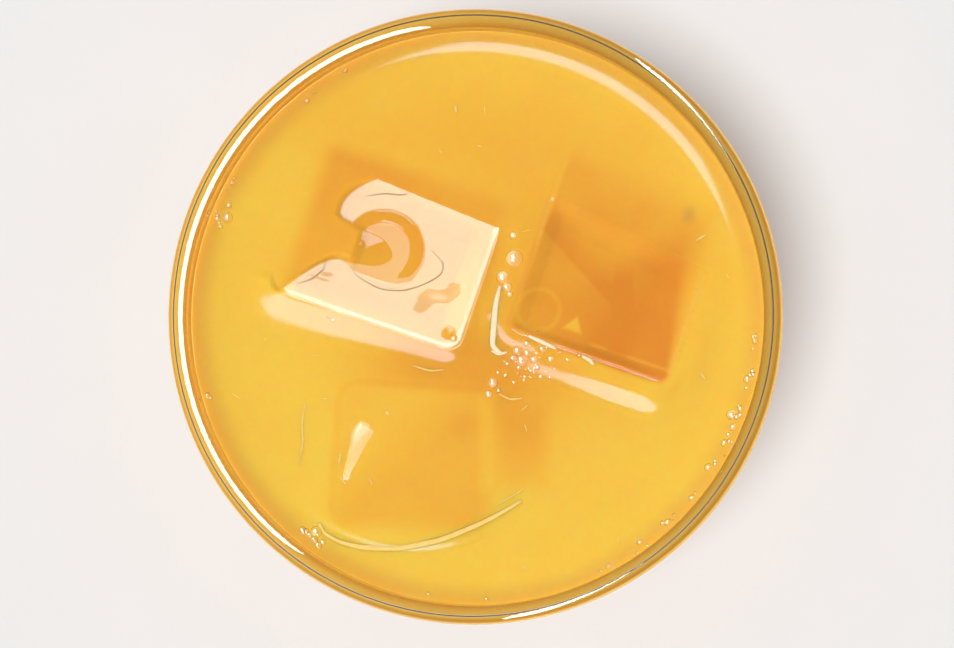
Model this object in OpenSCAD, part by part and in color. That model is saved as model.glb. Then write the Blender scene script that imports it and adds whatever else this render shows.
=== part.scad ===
// Straight-sided tumbler of orange juice with three cubes of ice floating in it.
// The glass stands on its foot at z = 0 and the z axis is the axis of the glass.
// +x is right and +y is back. All lengths are in millimetres and all angles in degrees.

/* [Glass] */
// Height of the glass
glass_h = 92; // [80:1:112]
// Outer diameter at the rim
rim_d = 85; // [84:0.5:104]
// Outer diameter of the wall, carried down to the foot
foot_d = 80; // [78:0.5:84]
// Thickness of the wall
wall = 2.6; // [2.2:0.1:3.2]
// Thickness of the solid base
base_h = 10; // [6:0.5:14]
// Rounding of the heel, where the wall meets the foot
heel_round = 5; // [3:0.5:7]
// Rounding inside, where the wall meets the floor
floor_round = 7; // [4:0.5:9]
// Width of the ring that the glass stands on
ring_w = 6; // [4:0.5:10]
// Depth of the shallow hollow inside that ring
punt_depth = 1.2; // [0.6:0.1:2]

/* [Juice] */
// Distance from the rim down to the level of the juice
freeboard = 7; // [6.8:0.1:12]
// Height that the juice climbs at the wall
climb_h = 1.8; // [1:0.1:2.4]
// Width of the curve in which it climbs
climb_w = 3; // [2:0.1:4]
// Clearance around the juice, to the glass and to the ice
gap = 0.1; // [0.05:0.01:0.2]

/* [Ice] */
// Rounding of the edges of the cubes
ice_round = 2.5; // [1.5:0.1:3.5]
// Turn of the left and the right cube about the z axis
pair_turn = -19; // [-23:1:-15]
// Width of the channel of juice between those two cubes
channel_w = 3.2; // [2.5:0.1:4.5]
// Distance of the middle of the channel from the axis
channel_x = 2.2; // [1:0.1:3]

/* [Left cube] */
// Length, width and depth
left_size = [28.4, 22.8, 24]; // [18:0.1:29]
// Distance of the front face in front of the axis
left_front = 5.9; // [5:0.1:7]
// Height of the middle of the top above the juice
left_lift = 0.8; // [0.3:0.1:1.2]
// Angle by which the front edge is raised
left_pitch = 6; // [3:0.1:7]
// Angle by which the left edge is raised
left_roll = 1; // [0:0.1:2]
// Diameter of the round hollow in the top
hollow_d = 12.6; // [8:0.1:15]
// Depth of that hollow
hollow_depth = 4.2; // [2:0.1:5]

/* [Right cube] */
// Length, width and depth
right_size = [24.6, 25, 24]; // [18:0.1:26]
// Distance of the front face in front of the axis
right_front = 0.8; // [0:0.1:2]
// Height of the middle of the top above the juice
right_lift = 0.4; // [0.2:0.1:0.9]
// Angle by which the front edge is raised
right_pitch = 2; // [1:0.1:3]
// Angle by which the left edge is raised
right_roll = 2; // [1:0.1:3]

/* [Front cube] */
// Length, width and depth
front_size = [23, 21, 22]; // [16:0.1:24]
// Distance of the back face in front of the left cube's nearest corner
front_gap = 3; // [2:0.1:3.5]
// Distance of the cube's middle to the left of the axis
front_left = 9; // [8:0.1:11]
// Turn about the z axis
front_turn = -4; // [-8:1:0]
// Height of the middle of the top above the juice
front_lift = 0.3; // [0.2:0.1:0.8]
// Angle by which the front edge is raised
front_pitch = 1.5; // [0.5:0.1:2.5]
// Angle by which the left edge is raised
front_roll = 1; // [0:0.1:2]

/* [Hidden] */

// Flat pieces that make up each quarter of a rounded corner in an outline
corner_steps = 8;
// Flat pieces that make up the curve in which the juice climbs
climb_steps = 6;
// Flat pieces that make up each rounded edge of a cube
ice_steps = 5;
// Roundness of what is turned
round_fn = 128;
// Overlap that keeps cuts clean
over = 1;

rim_r = rim_d / 2;
foot_r = foot_d / 2;
level = glass_h - freeboard;

// Lean of the wall from the vertical, and the growth of its radius with height
flare = (rim_r - foot_r) / glass_h;
lean = atan(flare);

// Radius at height z of a line that runs inside the outer wall, at a distance square to it
function wall_r(z, inside = 0) = foot_r + flare * z - inside / cos(lean);

// Points of an arc about a centre, from one angle to another
function arc(centre, radius, from, to, steps = corner_steps) = [
    for (i = [0 : steps])
        let (turn = from + (to - from) * i / steps)
        centre + radius * [cos(turn), sin(turn)]
];

// Centre of a rounding that touches a line inside the wall
function corner_centre(z, radius, inside = 0) = [wall_r(z, inside + radius), z];

// The heel, and the full round of the rim
function heel_arc() = arc(corner_centre(heel_round, heel_round), heel_round, -90, -lean);
function rim_arc() = arc(
    corner_centre(glass_h - wall / 2, wall / 2), wall / 2, -lean, 180 - lean, 2 * corner_steps
);

// The corner of the floor, taken inwards by a margin all round
function floor_arc(margin) = arc(
    corner_centre(base_h + floor_round, floor_round - margin, wall + margin),
    floor_round - margin, -lean, -90
);

// Half of the section through the glass
ring_r = wall_r(heel_round, heel_round);
glass_outline = concat(
    [[0, punt_depth], [ring_r - ring_w - punt_depth, punt_depth], [ring_r - ring_w, 0]],
    heel_arc(),
    rim_arc(),
    floor_arc(0),
    [[0, base_h]]
);

// Half of the section through the juice, with its edge drawn up at the wall.
// The edge is a sixth of a circle, stretched to the climb's width and height.
edge_r = wall_r(level + climb_h, wall + gap);
climb_turn = 60;
climb_arc = [
    for (i = [climb_steps : -1 : 0])
        let (turn = climb_turn * i / climb_steps)
        [
            edge_r - climb_w + climb_w * sin(turn) / sin(climb_turn),
            level + climb_h * (1 - cos(turn)) / (1 - cos(climb_turn))
        ]
];
floor_edge = floor_arc(gap);
juice_outline = concat(
    [[0, base_h + gap]],
    [for (i = [len(floor_edge) - 1 : -1 : 0]) floor_edge[i]],
    climb_arc,
    [[0, level]]
);

// Height of the front cube's back face, from the left cube's corner that is nearest to it
left_corner = [channel_x - channel_w / 2, -left_front];
left_corner_y = left_corner.x * sin(pair_turn) + left_corner.y * cos(pair_turn);

// Outline of a rectangle with rounded corners, centred on the origin
function rounded_rect(width, height, radius) = [
    for (corner = [[1, 1, 0], [-1, 1, 90], [-1, -1, 180], [1, -1, 270]])
        each arc(
            [corner.x * (width / 2 - radius), corner.y * (height / 2 - radius)],
            radius, corner.z, corner.z + 90, ice_steps
        )
];

// Straight bar with a rounded section, centred, longer than the block that it bounds
module rounded_bar(width, height, radius, length) {
    linear_extrude(length + 2 * over, center = true)
        polygon(rounded_rect(width, height, radius));
}

// Rounded block whose top face is at z = 0, centred on the axis, grown by a margin.
// It is what three bars, one along each axis, have in common.
module ice_block(size, margin = 0) {
    full = size + 2 * [margin, margin, margin];
    radius = ice_round + margin;
    translate([0, 0, -size.z / 2])
        intersection() {
            rounded_bar(full.x, full.y, radius, full.z);
            rotate([90, 0, 0]) rounded_bar(full.x, full.z, radius, full.y);
            rotate([0, 90, 0]) rounded_bar(full.z, full.y, radius, full.x);
        }
}

// Round hollow in the middle of a cube's top
module hollow() {
    ball_r = (pow(hollow_d / 2, 2) + pow(hollow_depth, 2)) / (2 * hollow_depth);
    translate([0, 0, ball_r - hollow_depth])
        sphere(r = ball_r, $fn = round_fn);
}

// Places of the cubes: each moves its children from the axis to where the cube floats
module at_left() {
    rotate(pair_turn)
        translate([
            channel_x - channel_w / 2 - left_size.x / 2,
            left_size.y / 2 - left_front,
            level + left_lift
        ])
            rotate([-left_pitch, left_roll, 0])
                children();
}

module at_right() {
    rotate(pair_turn)
        translate([
            channel_x + channel_w / 2 + right_size.x / 2,
            right_size.y / 2 - right_front,
            level + right_lift
        ])
            rotate([-right_pitch, right_roll, 0])
                children();
}

module at_front() {
    translate([-front_left, left_corner_y - front_gap - front_size.y / 2, level + front_lift])
        rotate([-front_pitch, front_roll, front_turn])
            children();
}

module glass() {
    color([0.86, 0.9, 0.9, 0.4])
        rotate_extrude($fn = round_fn)
            polygon(glass_outline);
}

module juice() {
    color([0.96, 0.74, 0.25])
        difference() {
            rotate_extrude($fn = round_fn)
                polygon(juice_outline);
            at_left() ice_block(left_size, gap);
            at_right() ice_block(right_size, gap);
            at_front() ice_block(front_size, gap);
        }
}

module ice_left() {
    color([0.98, 0.88, 0.74])
        at_left()
            difference() {
                ice_block(left_size);
                hollow();
            }
}

module ice_right() {
    color([0.93, 0.62, 0.24])
        at_right() ice_block(right_size);
}

module ice_front() {
    color([0.95, 0.72, 0.3])
        at_front() ice_block(front_size);
}

glass();
juice();
ice_left();
ice_right();
ice_front();
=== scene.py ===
import math
import random

import bmesh
import bpy
from mathutils import Matrix, Vector, noise


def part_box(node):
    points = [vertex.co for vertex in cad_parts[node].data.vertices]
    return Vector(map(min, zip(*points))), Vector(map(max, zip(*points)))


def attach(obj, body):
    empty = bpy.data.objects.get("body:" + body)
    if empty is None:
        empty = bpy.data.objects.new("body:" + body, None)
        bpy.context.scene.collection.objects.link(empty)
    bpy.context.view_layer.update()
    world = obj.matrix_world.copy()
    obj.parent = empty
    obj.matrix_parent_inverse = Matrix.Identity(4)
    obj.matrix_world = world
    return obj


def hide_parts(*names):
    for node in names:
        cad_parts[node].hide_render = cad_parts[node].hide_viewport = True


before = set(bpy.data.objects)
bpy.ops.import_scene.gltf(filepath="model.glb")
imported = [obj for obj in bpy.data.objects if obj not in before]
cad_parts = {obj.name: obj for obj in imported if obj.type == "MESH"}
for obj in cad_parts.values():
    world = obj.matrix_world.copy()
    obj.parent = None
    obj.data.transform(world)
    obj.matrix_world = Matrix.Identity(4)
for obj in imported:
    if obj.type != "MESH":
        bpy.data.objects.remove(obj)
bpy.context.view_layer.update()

mm = 0.001


def arcPoints(centre, radius, start, end, steps):
    points = []
    for i in range(steps + 1):
        turn = math.radians(start + (end - start) * i / steps)
        points.append((centre[0] + radius * math.cos(turn), centre[1] + radius * math.sin(turn)))
    return points


def newPiece(name, bm, material, smooth=True):
    mesh = bpy.data.meshes.new(name)
    bm.to_mesh(mesh)
    bm.free()
    piece = bpy.data.objects.new(name, mesh)
    bpy.context.scene.collection.objects.link(piece)
    for m in material if isinstance(material, (list, tuple)) else [material]:
        mesh.materials.append(m)
    if smooth:
        mesh.shade_smooth()
    return piece


def smoothStep(low, high, value):
    t = min(max((value - low) / (high - low), 0.0), 1.0)
    return t * t * (3 - 2 * t)


def mixValue(a, b, t):
    return a + (b - a) * t


def newMaterial(name):
    material = bpy.data.materials.new(name)
    material.use_nodes = True
    nodes = material.node_tree.nodes
    nodes.clear()
    output = nodes.new("ShaderNodeOutputMaterial")
    return material, material.node_tree, output


def addNode(tree, kind, **values):
    node = tree.nodes.new(kind)
    for key, value in values.items():
        setattr(node, key, value)
    return node


def noiseNode(tree, vector, scale, detail=3.0, roughness=0.5, distortion=0.0):
    node = addNode(tree, "ShaderNodeTexNoise")
    node.inputs["Scale"].default_value = scale
    node.inputs["Detail"].default_value = detail
    node.inputs["Roughness"].default_value = roughness
    node.inputs["Distortion"].default_value = distortion
    tree.links.new(vector, node.inputs["Vector"])
    return node.outputs["Fac"]


def rampNode(tree, factor, stops):
    node = addNode(tree, "ShaderNodeValToRGB")
    ramp = node.color_ramp
    while len(ramp.elements) < len(stops):
        ramp.elements.new(0.5)
    for element, (place, colour) in zip(ramp.elements, stops):
        element.position = place
        element.color = (*colour, 1)
    tree.links.new(factor, node.inputs["Fac"])
    return node.outputs["Color"]


def mathNode(tree, operation, a, b=None, clamp=False):
    node = addNode(tree, "ShaderNodeMath", operation=operation, use_clamp=clamp)
    for socket, value in zip(node.inputs, (a, b)):
        if value is None:
            continue
        if isinstance(value, (int, float)):
            socket.default_value = value
        else:
            tree.links.new(value, socket)
    return node.outputs[0]


def mixColour(tree, factor, a, b):
    node = addNode(tree, "ShaderNodeMix", data_type="RGBA", blend_type="MIX")
    for socket, value in ((node.inputs[0], factor), (node.inputs[6], a), (node.inputs[7], b)):
        if isinstance(value, (int, float)):
            socket.default_value = value
        elif isinstance(value, tuple):
            socket.default_value = (*value, 1)
        else:
            tree.links.new(value, socket)
    return node.outputs[2]


def bumpNode(tree, height, strength, distance):
    node = addNode(tree, "ShaderNodeBump")
    node.inputs["Strength"].default_value = strength
    node.inputs["Distance"].default_value = distance
    tree.links.new(height, node.inputs["Height"])
    return node.outputs["Normal"]


def letLampsThrough(tree, surface, tint=(1, 1, 1)):
    # shadow and bounce rays pass straight through, so what is behind clear glass is lit
    paths = addNode(tree, "ShaderNodeLightPath")
    for ray in ("Is Diffuse Ray", "Is Shadow Ray"):
        clear = addNode(tree, "ShaderNodeBsdfTransparent")
        clear.inputs["Color"].default_value = (*tint, 1)
        mix = addNode(tree, "ShaderNodeMixShader")
        tree.links.new(paths.outputs[ray], mix.inputs[0])
        tree.links.new(surface, mix.inputs[1])
        tree.links.new(clear.outputs[0], mix.inputs[2])
        surface = mix.outputs[0]
    return surface


# glass, ice and the skin of a bubble
clearLooks = {
    "clearGlass": {"colour": (0.98, 0.94, 0.90), "ior": 1.5, "roughness": 0.0},
    "wetIce": {"colour": (1.0, 0.99, 0.97), "ior": 1.45, "roughness": 0.03, "bump": 0.10},
    "stillIce": {"colour": (1.0, 0.99, 0.97), "ior": 1.45, "roughness": 0.03, "bump": 0.03},
    "bubbleFilm": {"colour": (1.0, 0.985, 0.94), "ior": 1.8, "roughness": 0.04},
}


def clearShader(tree, look):
    shader = addNode(tree, "ShaderNodeBsdfPrincipled")
    shader.inputs["Base Color"].default_value = (*look["colour"], 1)
    shader.inputs["IOR"].default_value = look["ior"]
    shader.inputs["Roughness"].default_value = look["roughness"]
    shader.inputs["Transmission Weight"].default_value = 1.0
    return shader


def clearGlass():
    material, tree, output = newMaterial("clearGlass")
    coords = addNode(tree, "ShaderNodeTexCoord").outputs["Object"]
    shader = clearShader(tree, clearLooks["clearGlass"])
    waves = noiseNode(tree, coords, 60, 2.0)
    tree.links.new(bumpNode(tree, waves, 0.012, 0.0010), shader.inputs["Normal"])
    tree.links.new(letLampsThrough(tree, shader.outputs[0], (0.98, 0.98, 0.97)), output.inputs["Surface"])
    return material


def clearIce(name):
    material, tree, output = newMaterial(name)
    coords = addNode(tree, "ShaderNodeTexCoord").outputs["Object"]
    shader = clearShader(tree, clearLooks[name])
    melt = noiseNode(tree, coords, 190, 1.5, 0.45, 0.8)
    tree.links.new(bumpNode(tree, melt, clearLooks[name]["bump"], 0.0005), shader.inputs["Normal"])
    tree.links.new(letLampsThrough(tree, shader.outputs[0]), output.inputs["Surface"])
    return material


# cloudy juice: yellow where it is open and lit; its deeper orange tones are painted shade, over and between
# the cubes and just under the level down the side
juiceLook = {
    "tones": (
        (0.0, (0.836, 0.576, 0.076)),
        (0.35, (0.812, 0.466, 0.054)),
        (0.7, (0.762, 0.358, 0.041)),
        (1.0, (0.700, 0.268, 0.030)),
    ),
    "wetShade": (0.60, 0.31, 0.07),     # painted shade towards the wall, and the dull darker spot near the right wall
    "sideShade": (1.0, 0.43, 0.062),    # down the side, behind the glass
    "cloud": 0.30,                      # how much the slow drift of pulp shows
    "grain": 0.08,
    "scatter": (1.0, 0.5, 0.12),
    "scatterDepth": 0.0025,
    "wetRoughness": 0.12,
    "ripple": 0.08,
}


def juiceFinish(name, wet):
    look = juiceLook
    material, tree, output = newMaterial(name)
    coords = addNode(tree, "ShaderNodeTexCoord").outputs["Object"]
    shader = addNode(tree, "ShaderNodeBsdfPrincipled")
    # the tone attribute carries painted shade as well as the juice's own tone
    toneAndShade = addNode(tree, "ShaderNodeAttribute", attribute_name="toneAndShade").outputs["Fac"]
    shade = addNode(tree, "ShaderNodeAttribute", attribute_name="shade").outputs["Fac"]
    cloud = noiseNode(tree, coords, 55, 3.0, 0.5, 0.8)
    grain = noiseNode(tree, coords, 900, 3.0, 0.6)
    drift = mathNode(tree, "MULTIPLY", mathNode(tree, "SUBTRACT", cloud, 0.5), look["cloud"])
    speck = mathNode(tree, "MULTIPLY", mathNode(tree, "SUBTRACT", grain, 0.5), look["grain"])
    mixed = mathNode(tree, "ADD", mathNode(tree, "ADD", toneAndShade, drift), speck, clamp=True)
    colour = rampNode(tree, mixed, look["tones"])
    colour = mixColour(tree, shade, colour, look["wetShade"] if wet else look["sideShade"])
    tree.links.new(colour, shader.inputs["Base Color"])
    shader.inputs["Subsurface Weight"].default_value = 1.0
    shader.inputs["Subsurface Radius"].default_value = look["scatter"]
    shader.inputs["Subsurface Scale"].default_value = look["scatterDepth"]
    if wet:
        shader.inputs["Roughness"].default_value = look["wetRoughness"]
        shader.inputs["IOR"].default_value = 1.5
        ripple = noiseNode(tree, coords, 45, 1.5)
        tree.links.new(bumpNode(tree, ripple, look["ripple"], 0.0008), shader.inputs["Normal"])
    else:
        shader.inputs["Roughness"].default_value = 0.9
        shader.inputs["Specular IOR Level"].default_value = 0.0
    tree.links.new(shader.outputs[0], output.inputs["Surface"])
    return material


def bubbleFilm():
    material, tree, output = newMaterial("bubbleFilm")
    coords = addNode(tree, "ShaderNodeTexCoord").outputs["Object"]
    shader = clearShader(tree, clearLooks["bubbleFilm"])
    swirl = noiseNode(tree, coords, 1500, 2.0)
    tree.links.new(bumpNode(tree, swirl, 0.10, 0.00008), shader.inputs["Normal"])
    tree.links.new(letLampsThrough(tree, shader.outputs[0], (1.0, 0.98, 0.94)), output.inputs["Surface"])
    return material


# fine-grained wet solids: light and dark colour, scale of the grain, roughness and bump
softLooks = {
    # painted highlights along the films between the cubes
    "filmHighlights": ((0.98, 0.84, 0.58), (0.95, 0.74, 0.42), 2500, 0.3, 0.5),
    "pulp": ((0.96, 0.74, 0.26), (0.90, 0.60, 0.14), 1800, 0.45, 0.6),
    # painted highlight where the film over the front cube ends
    "frontFilmHighlight": ((0.95, 0.66, 0.21), (0.93, 0.60, 0.15), 900, 0.25, 0.2),
    "darkLine": ((0.50, 0.34, 0.12), (0.40, 0.27, 0.09), 900, 0.5, 0.2),
}


def softSolid(name):
    light, dark, scale, roughness, bump = softLooks[name]
    material, tree, output = newMaterial(name)
    coords = addNode(tree, "ShaderNodeTexCoord").outputs["Object"]
    shader = addNode(tree, "ShaderNodeBsdfPrincipled")
    grain = noiseNode(tree, coords, scale, 4.0, 0.6)
    tree.links.new(rampNode(tree, grain, ((0.35, dark), (0.65, light))), shader.inputs["Base Color"])
    shader.inputs["Roughness"].default_value = roughness
    shader.inputs["Specular IOR Level"].default_value = 0.25
    tree.links.new(bumpNode(tree, grain, bump, 0.0001), shader.inputs["Normal"])
    tree.links.new(shader.outputs[0], output.inputs["Surface"])
    return material


# tumbler: the rim and the height come from the frame, the rest is how such a glass is blown
glassLow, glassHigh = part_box("glass")
tumbler = {
    "rimRadius": (glassHigh.y - glassLow.y) / 2,
    "height": glassHigh.z,
    "footRadius": 40 * mm,
    "wall": 2.6 * mm,
    "base": 10 * mm,
    "heelRound": 5 * mm,         # outside, between wall and foot
    "floorRound": 7 * mm,        # inside, between wall and floor
    "ringWidth": 6 * mm,         # the ring that the glass stands on
    "punt": 1.2 * mm,            # the hollow under the foot
    "segments": 224,
    "cornerSteps": 10,
}


def wallRadius(z, inside=0.0):
    # outer wall of the glass at height z, or a line a square distance inside it
    rise = (tumbler["rimRadius"] - tumbler["footRadius"]) / tumbler["height"]
    return tumbler["footRadius"] + rise * z - inside * math.sqrt(1 + rise * rise)


def makeTumbler(material):
    t = tumbler
    lean = math.degrees(math.atan((t["rimRadius"] - t["footRadius"]) / t["height"]))
    steps = t["cornerSteps"]
    half = t["wall"] / 2
    ringRadius = wallRadius(t["heelRound"], t["heelRound"])
    inner = ringRadius - t["ringWidth"]
    outline = [(0.0, t["punt"]), (inner - 2 * t["punt"], t["punt"])]
    outline += [(inner - t["punt"], t["punt"] * 0.8), (inner - t["punt"] * 0.4, t["punt"] * 0.2)]
    outline.append((inner, 0.0))
    outline += arcPoints((ringRadius, t["heelRound"]), t["heelRound"], -90, -lean, steps)
    for i in range(1, 12):
        z = mixValue(t["heelRound"], t["height"] - half, i / 12)
        outline.append((wallRadius(z), z))
    rim = (wallRadius(t["height"] - half, half), t["height"] - half)
    outline += arcPoints(rim, half, -lean, 180 - lean, 2 * steps)
    for i in range(1, 12):
        z = mixValue(t["height"] - half, t["base"] + t["floorRound"], i / 12)
        outline.append((wallRadius(z, t["wall"]), z))
    floorZ = t["base"] + t["floorRound"]
    corner = (wallRadius(floorZ, t["wall"] + t["floorRound"]), floorZ)
    outline += arcPoints(corner, t["floorRound"], -lean, -90, steps)
    outline.append((0.0, t["base"]))
    bm = bmesh.new()
    points = [bm.verts.new((x, 0, z)) for x, z in outline]
    edges = [bm.edges.new(pair) for pair in zip(points, points[1:])]
    bmesh.ops.spin(bm, geom=points + edges, cent=(0, 0, 0), axis=(0, 0, 1), dvec=(0, 0, 0),
                   angle=math.tau, steps=t["segments"], use_merge=True)
    bmesh.ops.remove_doubles(bm, verts=bm.verts, dist=1e-6)
    bmesh.ops.recalc_face_normals(bm, faces=bm.faces)
    return newPiece("tumbler", bm, material)


# ice: a cube's plan is turned about the axis of the glass, then its top leans by pitch and roll.
# lift: how far the middle of the top stands over the juice; dip: how far its right front corner has melted
# corner and edge: rounding of the upright and of the other edges
# climb, shelf, fall, steep: the film of juice drawn up at the cube, and how it falls away outside
# overlap: how far that film lies over the ice; pocket: how much lower the juice lies under a cube that
# shows, with slopes at its left, right, front and back
# tone and blur: painted shade of the juice over the ice, deeper orange than the open juice, and softness of
# its outline
cubes = {
    "ice_left": {
        "size": (27.2 * mm, 22.8 * mm, 24 * mm),
        "middle": (-14.3 * mm, 5.6 * mm),
        "turn": -19, "pitch": 3.4, "roll": 0.2, "lift": 0.50 * mm, "dip": 0.44 * mm,
        "corner": 2.2 * mm, "edge": 0.3 * mm,
        "climb": 1.14 * mm, "shelf": 0.0, "fall": 5.0 * mm, "steep": 2.0, "overlap": 0.5 * mm,
        "pocket": 2.6 * mm, "slopes": (3.5 * mm, 3.5 * mm, 5.5 * mm, 3.0 * mm),
        "toneAndShade": 0.64, "blur": 2.2 * mm,
    },
    "ice_right": {
        "size": (24.6 * mm, 26.4 * mm, 24 * mm),
        "middle": (16.1 * mm, 12.4 * mm),
        "turn": -19, "pitch": 1.9, "roll": 0.25, "lift": 0.20 * mm, "dip": 0.0,
        "corner": 2.2 * mm, "edge": 0.5 * mm,
        "climb": 0.62 * mm, "shelf": 1.8 * mm, "fall": 3.4 * mm, "steep": 0.0, "overlap": 0.4 * mm,
        "pocket": 1.3 * mm, "slopes": (2.2 * mm, 7.0 * mm, 1.2 * mm, 8.0 * mm),
        "toneAndShade": 0.72, "blur": 1.6 * mm,
    },
    "ice_front": {
        "size": (23 * mm, 21 * mm, 22 * mm),
        "middle": (-7.6 * mm, -19.9 * mm),
        "turn": -4, "pitch": 0.8, "roll": 0.6, "lift": -0.35 * mm, "dip": 0.0,
        "corner": 3.5 * mm, "edge": 2.0 * mm,
        "climb": 0.0, "shelf": 0.0, "fall": 2.4 * mm, "steep": 0.0, "overlap": 0.0,
        "pocket": 0, "slopes": (3 * mm, 3 * mm, 3 * mm, 3 * mm),
        "toneAndShade": 0.32, "blur": 2.4 * mm,
    },
}


def cubePlan(cube, x, y):
    # place of a point in a cube's own plan, from the middle of its top
    turn = math.radians(cube["turn"])
    u = x * math.cos(turn) + y * math.sin(turn)
    v = -x * math.sin(turn) + y * math.cos(turn)
    return u - cube["middle"][0], v - cube["middle"][1]


def cubeMatrix(cube):
    spin = Matrix.Rotation(math.radians(cube["turn"]), 4, "Z")
    roll = Matrix.Rotation(math.radians(cube["roll"]), 4, "Y")
    pitch = Matrix.Rotation(-math.radians(cube["pitch"]), 4, "X")
    middle = Matrix.Translation((cube["middle"][0], cube["middle"][1], 0))
    lift = Matrix.Translation((0, 0, level + cube["lift"]))
    return lift @ spin @ middle @ roll @ pitch


def outsideBy(cube, u, v):
    # distance outside a cube's rounded plan, negative within it
    du = abs(u) - cube["size"][0] / 2 + cube["corner"]
    dv = abs(v) - cube["size"][1] / 2 + cube["corner"]
    return math.hypot(max(du, 0), max(dv, 0)) + min(max(du, dv), 0) - cube["corner"]


def topHeight(cube, u, v):
    # height of a cube's flat top over the level of the juice
    pitch, roll = math.radians(cube["pitch"]), math.radians(cube["roll"])
    return cube["lift"] - v * math.tan(pitch) - u * math.tan(roll)


def cornerDip(cube, u, v):
    # how far the right front corner of a top has melted down
    return cube["dip"] * smoothStep(-9 * mm, 13 * mm, u) * smoothStep(2 * mm, -10.5 * mm, v)


def edgeHeight(cube, u, v):
    # how far the film is drawn up at the nearest point of a cube's edge
    halfU, halfV = cube["size"][0] / 2, cube["size"][1] / 2
    nearU, nearV = min(max(u, -halfU), halfU), min(max(v, -halfV), halfV)
    near = topHeight(cube, nearU, nearV) - cornerDip(cube, nearU, nearV)
    return min(max(near, 0.0), cube["climb"])


def filmFall(cube, away, lifted, u):
    # how the drawn-up film falls away outside a cube, 1 at its edge
    if away <= cube["shelf"]:
        return 1.0
    reach = cube["fall"]
    if cube["steep"]:
        reach *= max(lifted / cube["climb"], 0.2) * (1 + 0.45 * smoothStep(0, -12 * mm, u))
    t = min((away - cube["shelf"]) / reach, 1.0)
    soft = 1 - t * t * (3 - 2 * t)
    return mixValue(soft, (1 - t) ** cube["steep"], 0.8) if cube["steep"] else soft


def pocketDepth(cube, u, v, top):
    # the juice lies lower under a cube that shows, and rises to its edges
    halfU, halfV = cube["size"][0] / 2, cube["size"][1] / 2
    inset = 0.35 * mm + cube["overlap"]
    left, right, front, back = cube["slopes"]
    depth = smoothStep(0, left, u + halfU - inset) * smoothStep(0, right, halfU - inset - u)
    depth *= smoothStep(0, front, v + halfV - inset) * smoothStep(0, back, halfV - inset - v)
    ahead = top / math.tan(math.radians(cube["pitch"]))
    step = 0.08 * mm * smoothStep(0.3 * mm, 0.9 * mm, ahead) - 0.03 * mm
    return cube["pocket"] * depth * smoothStep(0.9 * mm, 4.2 * mm, ahead) + step


def leftShoulder(u, v, early=0.0):
    # 1 where the left cube's shoulder has melted away under the juice, in millimetres
    side = min(max((-6.4 - u) / 7.4, 0.0), 1.0)
    low = -3.2 - 8.2 * side ** 1.6
    bound = mixValue(-5.5, -9.6 + 0.12 * (min(v, 8.4) - 3.0) ** 2, smoothStep(0.4, 1.7, v))
    behind = smoothStep(-0.8 - early, 0.8 - early, v - low)
    return behind * smoothStep(0.8 + early, -0.8 + early, u - bound)


def streakRise(u):
    # the film in front of the right cube: broken and low at the left, full towards the right
    rise = 0.5 + 0.24 * smoothStep(-9, -5.5, u) + 0.42 * smoothStep(-3, 7, u)
    rise *= 1 - 0.6 * smoothStep(9.0, 14.0, u)
    return rise + 0.09 * noise.noise(Vector((u * 0.7, 4.0, 1.0)))


def facetShading(u, v):
    # painted shading seen through the right cube: darker and lighter flats, fine lines and a painted lit
    # patch near its front, in millimetres from its middle
    toneAndShade = 0.16 * smoothStep(-3, 8, u - 0.6 * v) - 0.10 * smoothStep(1, 12, v)
    crease = v + 0.55 * u + 4.2
    if -11.5 < u < 4 and v > -9:
        toneAndShade += 0.10 * (smoothStep(-0.2, 0.2, crease) - smoothStep(0.2, 4.5, crease))
    if u > -1.5:
        stripe = 1 - smoothStep(-0.25, 0.25, abs(u - 1.2 + 0.25 * v) - 1.4)
        toneAndShade += 0.10 * stripe * (1 - smoothStep(-2, 3, v))
    toneAndShade += 0.16 * (1 - smoothStep(-0.5, 0.1, abs(v + 11.9) - 0.9)) * smoothStep(-0.4, 0.4, u)
    toneAndShade -= 0.22 * (1 - smoothStep(0.0, 0.35, abs(v + 10.8))) * smoothStep(-0.4, 0.4, u)
    toneAndShade -= 0.14 * (1 - smoothStep(0.1, 0.7, abs(u + 11.6))) * smoothStep(-2, 3, v)
    ring = math.hypot(u + 8.4, v + 8.6)
    toneAndShade -= 0.09 * (1 - smoothStep(0.15, 0.5, abs(ring - 2.9)))
    lit = max(abs(u + 3.0) * 1.5 + (v + 8.9), -(v + 8.9) * 1.2)
    toneAndShade -= 0.34 * (1 - smoothStep(0.7, 1.5, lit))
    toneAndShade += 0.05 * noise.noise(Vector((u * 0.22, v * 0.22, 2.0)))
    return 1.8 * toneAndShade - 0.20 * smoothStep(9, 24, u + v)


# juice: a cloudy liquid that climbs a little at the wall
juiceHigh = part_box("juice")[1]
drink = {
    "edgeClimb": 1.8 * mm,
    "climbReach": 2.1 * mm,      # how fast the climb dies away from the wall
    "intoWall": 0.25 * mm,       # the juice reaches just into the glass
    "gridSteps": 270,
    "openTone": 0.06,            # 0 is yellow and 1 is deep orange
    "farTone": 0.26,             # more of it towards the far right
    "betweenCubesShade": 0.30,          # painted shade between the cubes
    "frontGapShade": 0.22,             # painted shade in front of the two larger cubes
    "wallShade": 0.40,
    "sideRings": (0.8, 2.0, 4.0, 7.0, 11.0, 20.0, 32.0, 44.0, 56.0),    # below the level, in mm
    "sideTonesAndShade": (1.0, 0.35),    # painted shade just under the level, and the side's tone deeper down
    "sideShades": (0.1, 0.9),
    "dullSpot": (29.4 * mm, 14.2 * mm),
    "dullSpotShade": 0.60,
}
level = juiceHigh.z - drink["edgeClimb"]

# the film over the front cube, which ends in a low curved step
frontFilm = {
    "centre": (-8.9 * mm, -8.9 * mm),
    "radius": 23.2 * mm,
    "rise": 0.30 * mm,
    "half": 0.95 * mm,           # half the width of the step
    "starts": (-136, -122),      # degrees round the centre, where the step grows
    "ends": (-78, -44),          # and where it dies away
}


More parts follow.
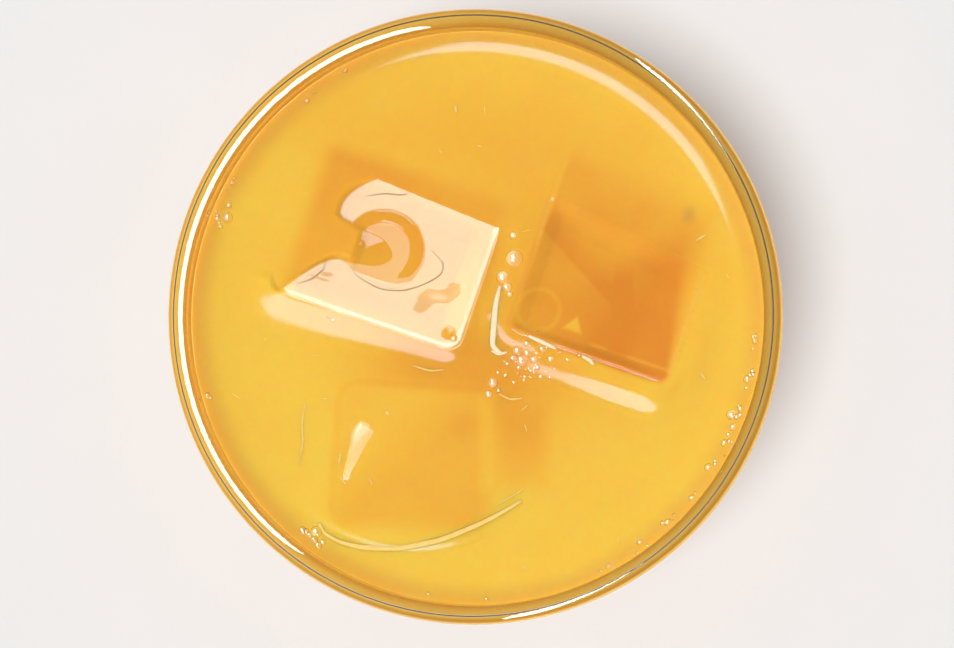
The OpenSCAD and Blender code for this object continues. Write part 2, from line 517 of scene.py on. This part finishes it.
def juiceShape(x, y):
    # height of the juice over its level, its tone with the painted shade in it, and its shade at a place in
    # the glass
    radius = math.hypot(x, y)
    edge = wallRadius(level, tumbler["wall"])
    height = drink["edgeClimb"] * math.exp(-(edge - radius) / drink["climbReach"])
    rim = 1 - 0.5 * smoothStep(24 * mm, 38 * mm, radius)
    toneAndShade = drink["openTone"] + drink["farTone"] * smoothStep(-30 * mm, 32 * mm, y + 0.5 * x) * rim
    toneAndShade += drink["betweenCubesShade"] * (1 - smoothStep(5 * mm, 28 * mm, math.hypot(x - 1 * mm, y + 1 * mm)))
    gap = math.hypot((x + 2 * mm) * 0.45, y + 8 * mm)
    toneAndShade += drink["frontGapShade"] * (1 - smoothStep(3 * mm, 9 * mm, gap))
    shade = drink["wallShade"] * smoothStep(edge - 3.4 * mm, edge - 0.3 * mm, radius)
    for name, cube in cubes.items():
        u, v = cubePlan(cube, x, y)
        away = outsideBy(cube, u, v)
        if away > 12 * mm:
            continue
        if name == "ice_front":
            # painted shade over the sunk front cube: deeper orange towards its front right, lighter towards
            # its back left, and a darker painted line just inside its outline
            light = smoothStep(-2 * mm, 9 * mm, v - u)
            toneAndShade = mixValue(toneAndShade, mixValue(0.42, 0.20, light), 1 - smoothStep(-2.4 * mm, 1.2 * mm, away))
            edging = 1 - smoothStep(0.2 * mm, 0.8 * mm, abs(away + 0.6 * mm))
            toneAndShade += 0.13 * edging * (1 - smoothStep(-6 * mm, 6 * mm, u - v))
            continue
        top = topHeight(cube, u, v)
        lifted = edgeHeight(cube, u, v)
        film = lifted * filmFall(cube, away + cube["overlap"], lifted, u)
        sunk = 0.0
        if name == "ice_left":
            sunk = leftShoulder(u / mm, v / mm - 2.6 * smoothStep(0, 1.5 * mm, away), 0.8)
        elif away > 0:
            front = smoothStep(-10 * mm, -13 * mm, v) * smoothStep(0, cube["shelf"], away)
            film *= mixValue(1.0, streakRise(u / mm), front)
        if away < 0 and top > 0:
            film -= pocketDepth(cube, u, v, top)
        height += film * (1 - sunk)
        # painted shade: the juice over a cube is painted its deeper orange, fading out past the outline
        shadeCover = 1 - smoothStep(-cube["blur"], cube["blur"] * 0.4, away)
        if name == "ice_right":
            far = smoothStep(-6 * mm, 16 * mm, u + v)
            beyond = outsideBy(cube, u, v * 0.9 if v > 0 else v)
            shadeCover = 1 - smoothStep(-mixValue(0.8 * mm, 5.5 * mm, far), 0.2 * mm, beyond)
            shadeTarget = cube["toneAndShade"] + facetShading(u / mm, v / mm)
        else:
            shadeTarget = cube["toneAndShade"] - 0.16 * smoothStep(5 * mm, -6 * mm, v)
        toneAndShade = mixValue(toneAndShade, shadeTarget, shadeCover)
    fx, fy = x - frontFilm["centre"][0], y - frontFilm["centre"][1]
    around = math.degrees(math.atan2(fy, fx))
    ends = smoothStep(*frontFilm["starts"], around) * (1 - smoothStep(*frontFilm["ends"], around))
    step = 1 - smoothStep(-frontFilm["half"], frontFilm["half"], math.hypot(fx, fy) - frontFilm["radius"])
    if fy < 0:
        height += frontFilm["rise"] * ends * step * smoothStep(0, 12 * mm, math.hypot(fx, fy))
    # painted shade over the sunk chip, with a lighter stripe painted to its left and a darker spot painted
    # over the front cube's right side
    cx, cy = x - chip["middle"][0], y - chip["middle"][1]
    aside = max(abs(cx) - chip["size"][0] / 2, abs(cy) - chip["size"][1] / 2)
    chipShadeCover = 1 - smoothStep(-2.6 * mm, 1.2 * mm, aside)
    toneAndShade = mixValue(toneAndShade, mixValue(0.34, 0.60, smoothStep(-5 * mm, 3 * mm, cy)), chipShadeCover)
    stripe = 1 - smoothStep(0.5 * mm, 1.6 * mm, abs(cx + 5.0 * mm))
    toneAndShade -= 0.14 * stripe * (1 - smoothStep(5 * mm, 8 * mm, abs(cy)))
    toneAndShade += 0.16 * (1 - smoothStep(0.5 * mm, 3.6 * mm, math.hypot(x + 1.6 * mm, y + 15.0 * mm)))
    # a dull darker spot near the right wall
    dullSpot = math.hypot(x - drink["dullSpot"][0], (y - drink["dullSpot"][1]) * 0.8)
    shade += drink["dullSpotShade"] * (1 - smoothStep(0.1 * mm, 1.6 * mm, dullSpot))
    return height, toneAndShade, shade


def underIce(place):
    # whether the juice here lies against the underside of a cube that shows
    for name, cube in cubes.items():
        u, v = cubePlan(cube, place.x, place.y)
        ahead = topHeight(cube, u, v) / math.tan(math.radians(cube["pitch"]))
        if cube["pocket"] and outsideBy(cube, u, v) < -0.5 * mm - cube["overlap"] and ahead > 0.6 * mm:
            return name == "ice_right" or leftShoulder(u / mm, v / mm, 0.4) < 0.9
    return False


def makeJuice(material, sideMaterial):
    steps = drink["gridSteps"]
    bm = bmesh.new()
    bmesh.ops.create_grid(bm, x_segments=steps, y_segments=steps, size=1.0)
    toneLayer = bm.verts.layers.float.new("toneAndShade")
    shadeLayer = bm.verts.layers.float.new("shade")
    edge = wallRadius(level, tumbler["wall"] - drink["intoWall"])
    for vert in bm.verts:
        u, v = vert.co.x, vert.co.y
        x = edge * u * math.sqrt(1 - v * v / 2)
        y = edge * v * math.sqrt(1 - u * u / 2)
        height, toneAndShade, shade = juiceShape(x, y)
        vert.co = (x, y, level + height)
        vert[toneLayer] = toneAndShade
        vert[shadeLayer] = shade
    top = set(bm.faces)
    for face in bm.faces:
        face.material_index = 1 if underIce(face.calc_center_median()) else 0
    # the side follows the inner wall down to the rounded floor
    rings = []
    floorZ = tumbler["base"] + tumbler["floorRound"]
    for below in drink["sideRings"]:
        z = level - below * mm
        rings.append((wallRadius(z, tumbler["wall"] - drink["intoWall"]), z))
    rings.append((wallRadius(floorZ, tumbler["wall"] - drink["intoWall"]), floorZ))
    corner = (wallRadius(floorZ, tumbler["wall"] + tumbler["floorRound"]), floorZ)
    rings += arcPoints(corner, tumbler["floorRound"] + drink["intoWall"], -10, -90, 7)
    border = [e for e in bm.edges if e.is_boundary]
    for radius, z in rings:
        made = bmesh.ops.extrude_edge_only(bm, edges=border)["geom"]
        border = [g for g in made if isinstance(g, bmesh.types.BMEdge) and g.is_boundary]
        for vert in {v for e in border for v in e.verts}:
            flat = Vector((vert.co.x, vert.co.y, 0)).normalized() * radius
            vert.co = (flat.x, flat.y, z)
            # painted shade: the side is deepest orange just under the level and turns to the side colour
            # further down
            depth = smoothStep(1 * mm, 18 * mm, level - z)
            vert[toneLayer] = mixValue(*drink["sideTonesAndShade"], depth)
            vert[shadeLayer] = mixValue(*drink["sideShades"], depth)
    made = bmesh.ops.edgeloop_fill(bm, edges=border)["faces"]
    bmesh.ops.inset_region(bm, faces=made, thickness=8 * mm)
    for face in bm.faces:
        if face not in top:
            face.material_index = 1
    bmesh.ops.recalc_face_normals(bm, faces=bm.faces)
    return newPiece("juiceBody", bm, [material, sideMaterial])


def roundedBlock(bm, size, corner, edge, cuts):
    # a block with its top at z = 0: upright corners rounded by corner, the other edges by edge
    bmesh.ops.create_cube(bm, size=1.0)
    bmesh.ops.subdivide_edges(bm, edges=bm.edges[:], cuts=cuts, use_grid_fill=True)
    for vert in bm.verts:
        p = Vector((vert.co.x * size[0], vert.co.y * size[1], vert.co.z * size[2]))
        zReach = size[2] / 2 - edge
        pz = min(max(p.z, -zReach), zReach)
        drop = (p.z - pz) / edge if edge else 0.0
        shrink = edge * (1 - math.sqrt(max(1 - drop * drop, 0.0)))
        coreX = min(max(p.x, -(size[0] / 2 - corner)), size[0] / 2 - corner)
        coreY = min(max(p.y, -(size[1] / 2 - corner)), size[1] / 2 - corner)
        away = Vector((p.x - coreX, p.y - coreY, 0))
        if away.length > 0:
            reach = max(abs(away.x), abs(away.y)) / corner
            away = away.normalized() * corner * reach
        p.x, p.y = coreX + away.x, coreY + away.y
        inward = Vector((p.x, p.y, 0))
        if inward.length > 0:
            p.x *= 1 - shrink / (size[0] / 2)
            p.y *= 1 - shrink / (size[1] / 2)
        vert.co = (p.x, p.y, p.z - size[2] / 2)


def makeIce(title, cube, material, finish, cuts=64):
    bm = bmesh.new()
    roundedBlock(bm, cube["size"], cube["corner"], cube["edge"], cuts)
    for vert in bm.verts:
        vert.co = finish(vert.co.copy())
    bmesh.ops.transform(bm, matrix=cubeMatrix(cube), verts=bm.verts)
    bmesh.ops.recalc_face_normals(bm, faces=bm.faces)
    return newPiece(title, bm, material)


# the worn top of the left cube, in its own plan
leftMelt = {
    "hollow": (-1.2 * mm, -1.0 * mm),   # middle of the round hollow
    "hollowRim": (3.7 * mm, 5.9 * mm),
    "hollowDepth": 1.1 * mm,
    "floorFront": -5.0 * mm,            # its floor slopes up to the front, where its rim is gone
    "floorRun": 8.5 * mm,
    "notch": (-3.7 * mm, -1.3 * mm),
    "notchReach": 2.3 * mm,
    "notchStretch": 0.60,
    "notchSlope": 0.42,
    "shoulder": 2.3 * mm,               # how far the far left shoulder has melted down
    "pit": (11.3 * mm, -8.9 * mm),
    "pitRim": (0.2 * mm, 0.9 * mm),
    "pitDepth": 0.22 * mm,
    "wave": 0.07 * mm,
}


def meltLeft(p):
    # a round hollow with a raised middle, a shoulder that has melted away, and a small pit
    cube, melt = cubes["ice_left"], leftMelt
    ease = smoothStep(-6 * mm, -1.5 * mm, p.z)
    if ease <= 0:
        return p
    reach = math.hypot(p.x - melt["hollow"][0], p.y - melt["hollow"][1])
    slope = min(max((p.y - melt["floorFront"]) / melt["floorRun"], 0.0), 1.0)
    drop = melt["hollowDepth"] * slope * (1 - smoothStep(*melt["hollowRim"], reach))
    notch = math.hypot((p.x - melt["notch"][0]) * melt["notchStretch"], p.y - melt["notch"][1])
    drop += melt["notchSlope"] * max(melt["notchReach"] - notch, 0.0)
    drop += melt["shoulder"] * leftShoulder(p.x / mm, p.y / mm)
    drop += cornerDip(cube, p.x, p.y)
    pit = math.hypot(p.x - melt["pit"][0], p.y - melt["pit"][1])
    drop += melt["pitDepth"] * (1 - smoothStep(*melt["pitRim"], pit))
    wave = noise.noise(Vector((p.x * 130, p.y * 130, 3.1)))
    wave += 0.5 * noise.noise(Vector((p.x * 330, p.y * 330, 9.4)))
    # no waves at the waterline or in the hollow
    calm = smoothStep(0.1 * mm, 0.7 * mm, topHeight(cube, 0.0, p.y))
    calm *= smoothStep(3.0 * mm, 7.0 * mm, reach)
    p.z += ease * (melt["wave"] * wave * calm - drop)
    return p


def meltRight(p):
    ease = smoothStep(-6 * mm, -2 * mm, p.z)
    p.z += ease * 0.05 * mm * noise.noise(Vector((p.x * 90, p.y * 90, 7.7)))
    return p


# the worn tip of the front cube, near its left side
frontTip = {
    "middle": (-7.4 * mm, -0.3 * mm),
    "along": (0.44, 0.90),
    "narrow": 0.5 * mm,
    "wide": 2.6 * mm,
    "rise": 0.52 * mm,
    "ripple": 0.05 * mm,
}


def meltFront(p):
    # only the worn tip comes through the film
    ease = smoothStep(-6 * mm, -2 * mm, p.z)
    du, dv = p.x - frontTip["middle"][0], p.y - frontTip["middle"][1]
    along = du * frontTip["along"][0] + dv * frontTip["along"][1]
    across = du * frontTip["along"][1] - dv * frontTip["along"][0]
    width = mixValue(frontTip["narrow"], frontTip["wide"], smoothStep(-5.5 * mm, 4.5 * mm, along))
    width += 0.35 * mm * noise.noise(Vector((along * 900, 0.5, 2.2)))
    tip = 1 - smoothStep(width * 0.7, width * 1.5, abs(across))
    tip *= 1 - smoothStep(3.8 * mm, 5.2 * mm, abs(along))
    ripple = frontTip["ripple"] * noise.noise(Vector((p.x * 200, p.y * 200, 1.7)))
    p.z += ease * (frontTip["rise"] * tip + ripple)
    return p


# the sunk chip of ice beside the front cube
chip = {
    "size": (8 * mm, 12.5 * mm, 9 * mm),
    "middle": (6.2 * mm, -17.6 * mm),
    "depth": 0.9 * mm,      # of its top below the level of the juice
    "round": 1.8 * mm,
    "seed": 5,              # noise_vector takes the clock as its seed unless it is given one
}


def makeChip(material):
    bm = bmesh.new()
    roundedBlock(bm, chip["size"], chip["round"], chip["round"], 18)
    noise.seed_set(chip["seed"])
    for vert in bm.verts:
        vert.co += 0.25 * mm * noise.noise_vector(vert.co * 220)
    place = Matrix.Translation((*chip["middle"], level - chip["depth"]))
    bmesh.ops.transform(bm, matrix=place @ Matrix.Rotation(math.radians(5), 4, "Z"), verts=bm.verts)
    bmesh.ops.recalc_face_normals(bm, faces=bm.faces)
    return newPiece("iceChip", bm, material)


def surfaceHeight(x, y):
    return level + juiceShape(x, y)[0]


def polar(angle, radius):
    turn = math.radians(angle)
    return radius * math.cos(turn), radius * math.sin(turn)


def addBubble(bm, x, y, radius, rounds=3):
    # a thin dome that floats on the juice, open into it
    made = bmesh.ops.create_icosphere(bm, subdivisions=rounds, radius=radius)["verts"]
    faces = list({f for v in made for f in v.link_faces})
    inner = bmesh.ops.duplicate(bm, geom=faces)["geom"]
    innerVerts = [g for g in inner if isinstance(g, bmesh.types.BMVert)]
    innerFaces = [g for g in inner if isinstance(g, bmesh.types.BMFace)]
    shell = 1 - min(0.07 * mm / radius, 0.22)
    bmesh.ops.scale(bm, vec=(shell, shell, shell), verts=innerVerts)
    bmesh.ops.reverse_faces(bm, faces=innerFaces)
    both = made + innerVerts
    for vert in both:
        vert.co.z *= 0.86
    bmesh.ops.translate(bm, vec=(x, y, surfaceHeight(x, y) - 0.15 * radius), verts=both)


# places in millimetres or degrees round the wall, with a size in millimetres
bubblePlan = {
    "seed": 41,
    # along the wall: angle, how many, and the radius of the largest
    "clusters": (
        (-5, 5, 0.5), (-13, 6, 0.62), (-21, 9, 0.78), (-27, 5, 0.55), (-33, 3, 0.62), (-40, 3, 0.5),
        (-47, 4, 0.55), (-54, 3, 0.5), (-62, 3, 0.5), (-127, 9, 0.85), (-164, 2, 0.45),
        (158, 8, 0.75), (151, 3, 0.45), (128, 3, 0.4), (118, 2, 0.4), (-88, 2, 0.3), (-100, 2, 0.3),
    ),
    # in the channel between the cubes: x, y and radius
    "singles": (
        (5.2, 8.2, 1.25), (3.6, 5.6, 0.95), (4.6, 3.2, 0.5), (4.2, 4.2, 0.75), (5.0, 11.4, 0.6),
        (5.6, -4.6, 0.75), (7.0, -4.9, 0.65), (6.2, -6.0, 0.9), (7.9, -5.8, 0.6), (5.0, -5.6, 0.5),
        (9.1, -4.4, 0.55), (10.2, -5.8, 0.5), (6.9, -3.6, 0.45), (8.4, -6.9, 0.4), (5.8, -7.0, 0.4),
        (2.2, -9.0, 0.75), (1.6, -10.6, 0.6), (3.0, -10.1, 0.35), (3.9, -8.0, 0.35), (2.9, -7.6, 0.3),
        (-3.2, -2.9, 0.55), (-20.6, 0.2, 0.3), (-20.0, -0.3, 0.25), (14.2, -5.3, 0.35), (12.6, -5.9, 0.3),
        (8.8, -8.2, 0.35), (11.6, -4.8, 0.3), (4.2, -6.4, 0.35), (6.6, -8.2, 0.3), (7.4, -7.4, 0.3),
    ),
    # a white cluster of tiny ones in front of the right cube
    "tiny": 46,
    "tinyMiddle": (6.4, -6.0),
    "tinySpread": (1.7, 1.5),
    "tinyRadius": (0.12, 0.24),
}


def makeBubbles(material):
    plan = bubblePlan
    rng = random.Random(plan["seed"])
    bm = bmesh.new()
    edge = wallRadius(level, tumbler["wall"])
    for angle, count, size in plan["clusters"]:
        for i in range(count):
            radius = size * mm * (1.0 if i == 0 else rng.uniform(0.3, 0.7))
            spread = 0.0 if i == 0 else rng.uniform(-2.6, 2.6)
            x, y = polar(angle + spread, edge - radius - rng.uniform(0.0, 0.5 + 0.12 * count) * mm)
            addBubble(bm, x, y, radius)
    for x, y, radius in plan["singles"]:
        addBubble(bm, x * mm, y * mm, radius * mm)
    for i in range(plan["tiny"]):
        x, y = (rng.gauss(*pair) for pair in zip(plan["tinyMiddle"], plan["tinySpread"]))
        addBubble(bm, x * mm, y * mm, rng.uniform(*plan["tinyRadius"]) * mm, 2)
    return newPiece("bubbles", bm, material)


def onJuice(x, y):
    return Vector((x * mm, y * mm, surfaceHeight(x * mm, y * mm)))


def onLeftCube(u, v):
    # a place on the worn top of the left cube, from the middle of that top
    return cubeMatrix(cubes["ice_left"]) @ meltLeft(Vector((u * mm, v * mm, 0)))


def addStrand(bm, path, thick, flat, lift, sides=8, lay=onJuice):
    # a rounded strand along a path of places in millimetres, laid on a surface
    places = []
    for (x0, y0), (x1, y1) in zip(path, path[1:]):
        for i in range(6):
            t = i / 6
            places.append((mixValue(x0, x1, t), mixValue(y0, y1, t)))
    places.append(path[-1])
    for i in range(3):
        places = [places[0]] + [
            tuple((a[k] + 2 * b[k] + c[k]) / 4 for k in range(2))
            for a, b, c in zip(places, places[1:], places[2:])
        ] + [places[-1]]
    loops = []
    laid = [lay(x, y) for x, y in places]
    for i, centre in enumerate(laid):
        along = laid[min(i + 1, len(laid) - 1)] - laid[max(i - 1, 0)]
        side = Vector((-along.y, along.x, 0)).normalized()
        t = i / (len(places) - 1)
        radius = thick * mm * (0.25 + 0.75 * math.sqrt(max(math.sin(math.pi * min(max(t, 0.02), 0.98)), 0)))
        made = bmesh.ops.create_circle(bm, segments=sides, radius=radius, cap_ends=False)["verts"]
        for vert in made:
            local = vert.co.copy()
            vert.co = centre + side * local.x + Vector((0, 0, local.y * flat + lift))
        loops.append(made)
    for first, second in zip(loops, loops[1:]):
        ring = {e for v in first for e in v.link_edges if e.other_vert(v) in first}
        ring |= {e for v in second for e in v.link_edges if e.other_vert(v) in second}
        bmesh.ops.bridge_loops(bm, edges=list(ring))
    for loop in (loops[0], loops[-1]):
        ring = list({e for v in loop for e in v.link_edges if e.other_vert(v) in loop})
        bmesh.ops.edgeloop_fill(bm, edges=ring)


# paths in millimetres with a half thickness; flat squeezes a strand, lift raises it
strandSets = {
    "filmHighlights": {      # painted highlights: pale strands along the films between the cubes, where the films catch the light
        "flat": 0.3, "lift": 0.03 * mm,
        "paths": (
            (((3.2, 4.4), (2.6, 1.8), (2.3, -1.6), (2.1, -4.0), (3.4, -5.0)), 0.46),
            (((2.0, -4.6), (3.0, -5.1), (4.2, -4.8)), 0.22),
            (((7.2, -2.6), (9.0, -3.4), (11.0, -4.4)), 0.28),
            (((14.6, -5.4), (15.6, -5.9), (16.2, -6.6)), 0.28),
        ),
    },
    "frontFilmHighlight": {   # painted highlight: a pale strand along the low step where the film over the front cube ends
        "flat": 0.12, "lift": 0.0,
        "paths": (
            (((-22.0, -28.4), (-21.4, -29.9), (-19.2, -31.2), (-16.2, -31.9), (-10.6, -32.0),
              (-5.1, -30.9), (0.5, -28.6), (3.5, -27.0), (6.2, -25.4)), 0.42),
        ),
    },
    "darkLines": {  # fine dark lines on the left cube's top, in its own plan
        "flat": 0.5, "lift": 0.02 * mm,
        "paths": (
            (((-5.9, 5.4), (-3.6, 6.6), (-1.0, 7.2), (-0.3, 7.9)), 0.075),
            (((-8.4, -4.7), (-8.0, -6.0), (-9.1, -7.9), (-11.1, -9.4)), 0.075),
            (((5.4, 1.1), (7.5, 0.1), (7.7, -1.6), (5.8, -3.7),
              (3.5, -5.4), (0.3, -6.3), (-3.4, -5.6), (-4.4, -4.8)), 0.075),
        ),
    },
    "pulp": {       # fibres
        "flat": 0.6, "lift": 0.02 * mm,
        "paths": (
            (((-24.0, -11.8), (-24.5, -14.5), (-24.3, -17.4), (-25.0, -20.4)), 0.13),
            (((-19.0, -18.8), (-19.3, -20.4)), 0.12),
            (((-19.1, -22.2), (-18.2, -23.2)), 0.12),
            (((-15.0, -22.2), (-14.6, -23.2)), 0.12),
            (((-12.8, -12.9), (-12.2, -13.5)), 0.2),
            (((-3.1, 29.6), (-2.9, 28.6)), 0.17),
            (((2.2, -26.2), (5.2, -24.6), (6.6, -23.6)), 0.10),
            (((-9.0, -6.6), (-6.6, -7.4), (-4.6, -7.2)), 0.14),
            (((3.0, -10.6), (4.6, -11.4), (6.2, -11.2)), 0.14),
            (((31.0, -7.8), (31.6, -8.6)), 0.12),
            (((30.4, 10.6), (31.8, 11.4)), 0.16),
        ),
    },
}


def makeStrands(name, material, lay=onJuice, extra=None):
    strands = strandSets[name]
    bm = bmesh.new()
    for path, thick in strands["paths"]:
        addStrand(bm, path, thick, strands["flat"], strands["lift"], lay=lay)
    if extra:
        extra(bm)
    bmesh.ops.recalc_face_normals(bm, faces=bm.faces)
    return newPiece(name, bm, material)


flecks = {"seed": 7, "count": 34, "spread": 38, "length": (0.25, 0.7), "thick": (0.05, 0.10)}


def addFlecks(bm):
    # short flecks of pulp, scattered over the open juice
    rng = random.Random(flecks["seed"])
    for i in range(flecks["count"]):
        angle, radius = rng.uniform(0, 360), flecks["spread"] * math.sqrt(rng.uniform(0.02, 0.98))
        x, y = polar(angle, radius)
        spin = math.radians(rng.uniform(0, 180))
        length = rng.uniform(*flecks["length"])
        dx, dy = length * math.cos(spin), length * math.sin(spin)
        if any(outsideBy(c, *cubePlan(c, x * mm, y * mm)) < 1 * mm for c in cubes.values()):
            continue
        path = ((x - dx, y - dy), (x, y), (x + dx, y + dy))
        addStrand(bm, path, rng.uniform(*flecks["thick"]), 0.6, 0, 6)


def makeFloor():
    bm = bmesh.new()
    bmesh.ops.create_grid(bm, x_segments=1, y_segments=1, size=6.0)
    material, tree, output = newMaterial("paleFloor")
    shader = addNode(tree, "ShaderNodeBsdfPrincipled")
    grain = noiseNode(tree, addNode(tree, "ShaderNodeTexCoord").outputs["Object"], 40, 3.0)
    shades = ((0.3, (0.782, 0.792, 0.800)), (0.7, (0.794, 0.804, 0.812)))
    tree.links.new(rampNode(tree, grain, shades), shader.inputs["Base Color"])
    shader.inputs["Roughness"].default_value = 0.9
    shader.inputs["Specular IOR Level"].default_value = 0.1
    tree.links.new(shader.outputs[0], output.inputs["Surface"])
    newPiece("floor", bm, material, smooth=False)


def onlyFor(lamp, pieces):
    # a lamp that lights only the given pieces
    lit = bpy.data.collections.new(lamp.name + "Lit")
    for piece in pieces:
        lit.objects.link(piece)
    lamp.light_linking.receiver_collection = lit


# cards of light: direction, width, height, radiance and colour
cards = {
    "window": ((-0.27, -0.42, 0.87), 0.85, 0.42, 8.0, (0.45, 0.66, 0.95)),
    "skylight": ((-0.05, 0.11, 0.98), 0.62, 0.70, 5.3, (0.50, 0.78, 0.92)),
    "skyPatch": ((-0.03, 0.14, 0.98), 0.20, 0.20, 7.0, (0.60, 0.95, 1.0)),
    "spark": ((-0.30, 0.36, 0.88), 0.60, 0.60, 38.0, (1.0, 1.0, 1.0)),
    "rimGlow": ((0.974, -0.225, 0.0), 0.22, 0.28, 24.0, (1.0, 0.99, 0.97)),
}
cardDistance = 1.2


def reflectedCard(name, pieces, place=None):
    # a card that is only seen reflected, and only by the given pieces
    direction, width, height, radiance, colour = cards[name]
    lamp = bpy.data.lights.new(name, "AREA")
    lamp.shape = "RECTANGLE"
    lamp.size = width
    lamp.size_y = height
    lamp.energy = radiance * math.pi * width * height
    lamp.color = colour
    holder = bpy.data.objects.new(name, lamp)
    bpy.context.scene.collection.objects.link(holder)
    toLamp = Vector(direction).normalized()
    holder.location = place or Vector((0, 0, level)) + toLamp * cardDistance
    holder.rotation_euler = toLamp.to_track_quat("Z", "Y").to_euler()
    holder.visible_camera = False
    holder.visible_diffuse = False
    onlyFor(holder, pieces)


# the room: colours of the world by what looks at it, and one soft sun
room = {
    "dim": (0.25, 0.25, 0.25),          # for what it lights
    "mirrored": (0.46, 0.30, 0.15),     # a warm room in reflections and through the glass
    "seen": (0.84, 0.84, 0.83),         # behind everything
    "sunEnergy": 2.57,
    "sunSpread": 13,
    "toSun": (-0.035, -0.10, 1),
}


def lightScene():
    world = bpy.data.worlds.new("softRoom")
    bpy.context.scene.world = world
    world.use_nodes = True
    background = world.node_tree.nodes["Background"]
    tree = world.node_tree
    paths = addNode(tree, "ShaderNodeLightPath")
    bent = mathNode(tree, "MAXIMUM", paths.outputs["Is Glossy Ray"], paths.outputs["Is Transmission Ray"])
    unseen = mixColour(tree, bent, room["dim"], room["mirrored"])
    seen = mixColour(tree, paths.outputs["Is Camera Ray"], unseen, room["seen"])
    tree.links.new(seen, background.inputs["Color"])
    sun = bpy.data.lights.new("daylight", "SUN")
    sun.energy = room["sunEnergy"]
    sun.angle = math.radians(room["sunSpread"])
    holder = bpy.data.objects.new("daylight", sun)
    bpy.context.scene.collection.objects.link(holder)
    toSun = Vector(room["toSun"]).normalized()
    holder.rotation_euler = toSun.to_track_quat("Z", "Y").to_euler()
    holder.visible_glossy = False
    holder.visible_camera = False
    bpy.context.scene.view_settings.view_transform = "Standard"


# soft light from the sides that only the juice catches: towards it, energy and spread
sideFills = {
    "leftFill": ((-0.95, 0.30, 0.30), 1.1, 40),
    "backFill": ((0.30, 0.95, 0.02), 0.42, 16),
    "rightFill": ((0.80, -0.60, 0.02), 0.42, 16),
    "frontFill": ((-0.60, -0.80, 0.02), 0.42, 16),
}


def fillSides(piece):
    for name, (towards, energy, spread) in sideFills.items():
        sun = bpy.data.lights.new(name, "SUN")
        sun.energy = energy
        sun.angle = math.radians(spread)
        holder = bpy.data.objects.new(name, sun)
        bpy.context.scene.collection.objects.link(holder)
        holder.rotation_euler = Vector(towards).to_track_quat("Z", "Y").to_euler()
        holder.visible_glossy = False
        onlyFor(holder, [piece])


def makeCamera():
    view = {
        "distance": 0.60,
        "lean": 5.0,            # degrees off the vertical
        "towards": -27.0,       # direction of that lean in the plan, from +x
        "fill": 0.648,          # rim diameter over the frame's width
        "aside": (0.0040, 0.0088),  # the glass sits a little left and up
    }
    data = bpy.data.cameras.new("camera")
    camera = bpy.data.objects.new("camera", data)
    bpy.context.scene.collection.objects.link(camera)
    lean = math.radians(view["lean"])
    around = math.radians(view["towards"])
    back = Vector((math.sin(lean) * math.cos(around), math.sin(lean) * math.sin(around), math.cos(lean)))
    right = Vector((0, 1, 0)).cross(back).normalized()
    up = back.cross(right)
    centre = Vector((0, 0, tumbler["height"]))
    width = 2 * tumbler["rimRadius"] / view["fill"]
    data.sensor_width = 36
    data.lens = view["distance"] / width * data.sensor_width
    centre += right * view["aside"][0] * width - up * view["aside"][1] * width
    turn = Matrix((right, up, back)).transposed().to_4x4()
    camera.matrix_world = Matrix.Translation(centre + back * view["distance"]) @ turn
    data.clip_start = 0.01
    data.clip_end = 50
    bpy.context.scene.camera = camera


print("stage")
makeFloor()
lightScene()
makeCamera()

print("glass")
glassPiece = makeTumbler(clearGlass())
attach(glassPiece, "root")
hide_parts("glass")

print("juice")
juicePiece = makeJuice(juiceFinish("juiceTop", True), juiceFinish("juiceSide", False))
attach(juicePiece, "root")
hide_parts("juice")

print("ice")
wetIce = clearIce("wetIce")
stillIce = clearIce("stillIce")
iceParts = {
    "ice_left": makeIce("iceLeft", cubes["ice_left"], wetIce, meltLeft, 110),
    "ice_right": makeIce("iceRight", cubes["ice_right"], stillIce, meltRight),
    "ice_front": makeIce("iceFront", cubes["ice_front"], wetIce, meltFront, 90),
}
for node, piece in iceParts.items():
    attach(piece, "root")
    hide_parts(node)
chipPiece = makeChip(stillIce)
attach(chipPiece, "root")
linePiece = makeStrands("darkLines", softSolid("darkLine"), onLeftCube)
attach(linePiece, "root")

print("bubbles, froth and pulp")
bubblePiece = makeBubbles(bubbleFilm())
filmHighlightPiece = makeStrands("filmHighlights", softSolid("filmHighlights"))
pulpPiece = makeStrands("pulp", softSolid("pulp"), extra=addFlecks)
frontHighlightPiece = makeStrands("frontFilmHighlight", softSolid("frontFilmHighlight"))
for piece in (filmHighlightPiece, pulpPiece, frontHighlightPiece):
    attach(piece, "root")
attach(bubblePiece, "root")

print("lights")
fillSides(juicePiece)
besideGlass = [juicePiece, chipPiece, bubblePiece, filmHighlightPiece, pulpPiece, frontHighlightPiece, *iceParts.values()]
reflectedCard("window", besideGlass)
reflectedCard("skylight", [iceParts["ice_left"], iceParts["ice_front"]])
reflectedCard("skyPatch", [iceParts["ice_left"]])
reflectedCard("spark", [bubblePiece])
reflectedCard("rimGlow", [glassPiece], Vector((0.030, -0.007, tumbler["height"] + 0.165)))
